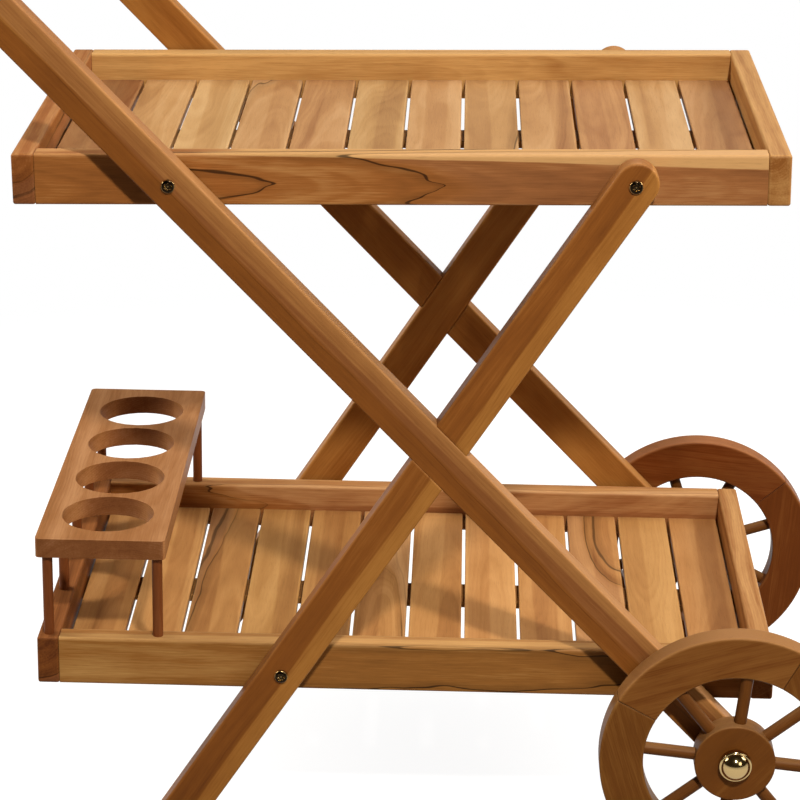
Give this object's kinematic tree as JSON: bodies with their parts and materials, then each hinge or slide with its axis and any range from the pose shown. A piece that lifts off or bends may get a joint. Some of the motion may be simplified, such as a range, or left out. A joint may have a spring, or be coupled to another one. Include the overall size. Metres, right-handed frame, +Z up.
{
  "type": "bar cart",
  "caption": "Wooden bar cart with two slatted trays on crossed legs, two spoked wheels, a handle bar and a board with round holes for bottles.",
  "frame": {"origin": "on the floor, in the middle of the cart's plan", "axes": "+Z up, +X from the handle end to the wheel end, +Y from front to back"},
  "size_m": [0.8738, 0.6078, 0.9185],
  "materials": {
    "rail_wood": "oiled reddish-brown acacia with dark grain lines",
    "slat_wood": "oiled acacia, lighter golden boards",
    "hidden_wood": "plain oiled hardwood",
    "leg_wood": "oiled acacia with dark and golden bands",
    "wheel_wood": "oiled dark brown acacia",
    "board_wood": "oiled dark brown acacia",
    "post_wood": "dark stained dowel",
    "cap_brass": "polished brass",
    "insert_brass": "plain turned brass",
    "bronzed_steel": "near-black bronzed steel",
    "plain_steel": "zinc-plated steel"
  },
  "bodies": {
    "cart": {"upper_rail_front": "rail_wood", "upper_rail_back": "rail_wood", "upper_end_left": "rail_wood", "upper_end_right": "rail_wood", "upper_batten": "hidden_wood", "upper_screws": "plain_steel", "lower_rail_front": "rail_wood", "lower_rail_back": "rail_wood", "lower_end_left": "rail_wood", "lower_end_right": "rail_wood", "lower_batten": "hidden_wood", "lower_screws": "plain_steel", "upper_slat_1": "slat_wood", "upper_slat_2": "slat_wood", "upper_slat_3": "slat_wood", "upper_slat_4": "slat_wood", "upper_slat_5": "slat_wood", "upper_slat_6": "slat_wood", "upper_slat_7": "slat_wood", "upper_slat_8": "slat_wood", "upper_slat_9": "slat_wood", "upper_slat_10": "slat_wood", "upper_slat_11": "slat_wood", "upper_slat_12": "slat_wood", "lower_slat_1": "slat_wood", "lower_slat_2": "slat_wood", "lower_slat_3": "slat_wood", "lower_slat_4": "slat_wood", "lower_slat_5": "slat_wood", "lower_slat_6": "slat_wood", "lower_slat_7": "slat_wood", "lower_slat_8": "slat_wood", "lower_slat_9": "slat_wood", "lower_slat_10": "slat_wood", "lower_slat_11": "slat_wood", "lower_slat_12": "slat_wood", "long_leg_front": "leg_wood", "long_leg_back": "leg_wood", "short_leg_front": "leg_wood", "short_leg_back": "leg_wood", "handle_bar": "leg_wood", "tray_bolts": "bronzed_steel", "tray_washers": "plain_steel", "tray_inserts": "insert_brass", "bottle_board": "board_wood", "bottle_posts": "post_wood", "front_axle": "plain_steel", "back_axle": "plain_steel", "front_spacer": "plain_steel", "back_spacer": "plain_steel", "front_cap": "cap_brass", "back_cap": "cap_brass"},
    "front_wheel": {"front_rim": "wheel_wood", "front_hub": "wheel_wood", "front_spokes": "wheel_wood"},
    "back_wheel": {"back_rim": "wheel_wood", "back_hub": "wheel_wood", "back_spokes": "wheel_wood"}
  },
  "joints": [
    {"name": "front_wheel_spin", "type": "hinge", "parent": "cart", "child": "front_wheel", "pos_m": [0.3029, -0.2741, 0.134], "axis": [0, 1, 0], "continuous": true},
    {"name": "back_wheel_spin", "type": "hinge", "parent": "cart", "child": "back_wheel", "pos_m": [0.3029, 0.2741, 0.134], "axis": [0, 1, 0], "continuous": true}
  ]
}
